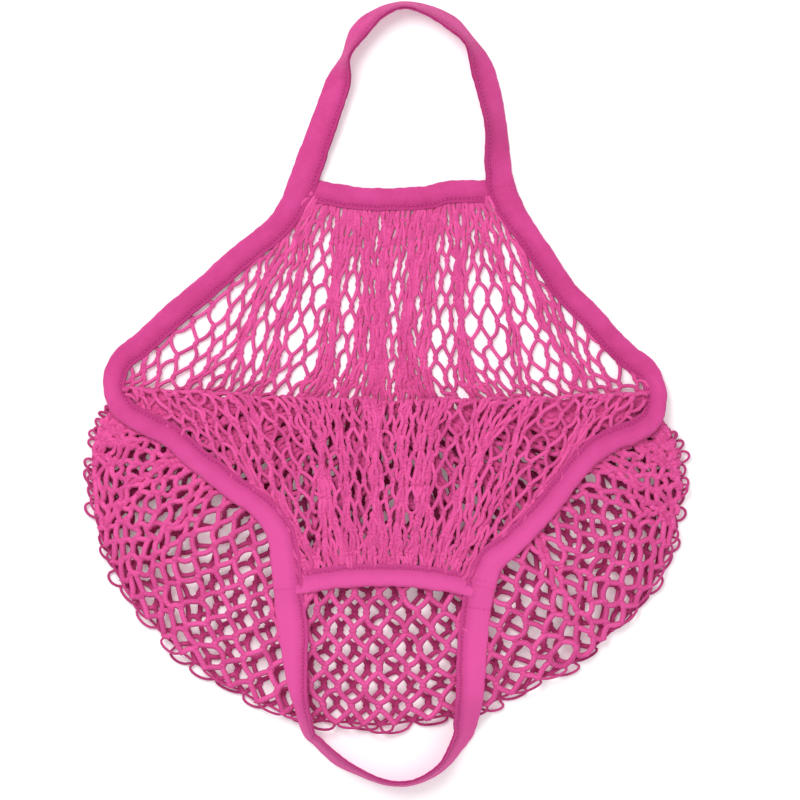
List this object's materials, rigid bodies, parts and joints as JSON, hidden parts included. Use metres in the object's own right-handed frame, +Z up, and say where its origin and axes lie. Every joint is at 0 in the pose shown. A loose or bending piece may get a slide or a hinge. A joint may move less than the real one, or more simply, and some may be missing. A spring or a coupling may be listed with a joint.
{
  "type": "string shopping bag",
  "caption": "Net shopping bag of knotted cotton string laid flat, mouth spread open, with taped edges and short tape handles.",
  "frame": {"origin": "on the surface that the bag lies on, under the middle of the laid-out bag", "axes": "+Y runs along the bag from the pouch's bottom to the back handle, +X to the right seen from above, +Z up off the surface"},
  "size_m": [0.4206, 0.5506, 0.0244],
  "materials": {
    "net_string": "matt twisted cotton string, hot pink",
    "cotton_tape": "matt plain-woven cotton tape, folded and stitched, hot pink"
  },
  "bodies": {
    "root": {"net_body": "net_string", "back_band": "cotton_tape", "front_band": "cotton_tape", "left_binding": "cotton_tape", "right_binding": "cotton_tape", "back_handle": "cotton_tape", "front_handle": "cotton_tape"}
  },
  "joints": []
}
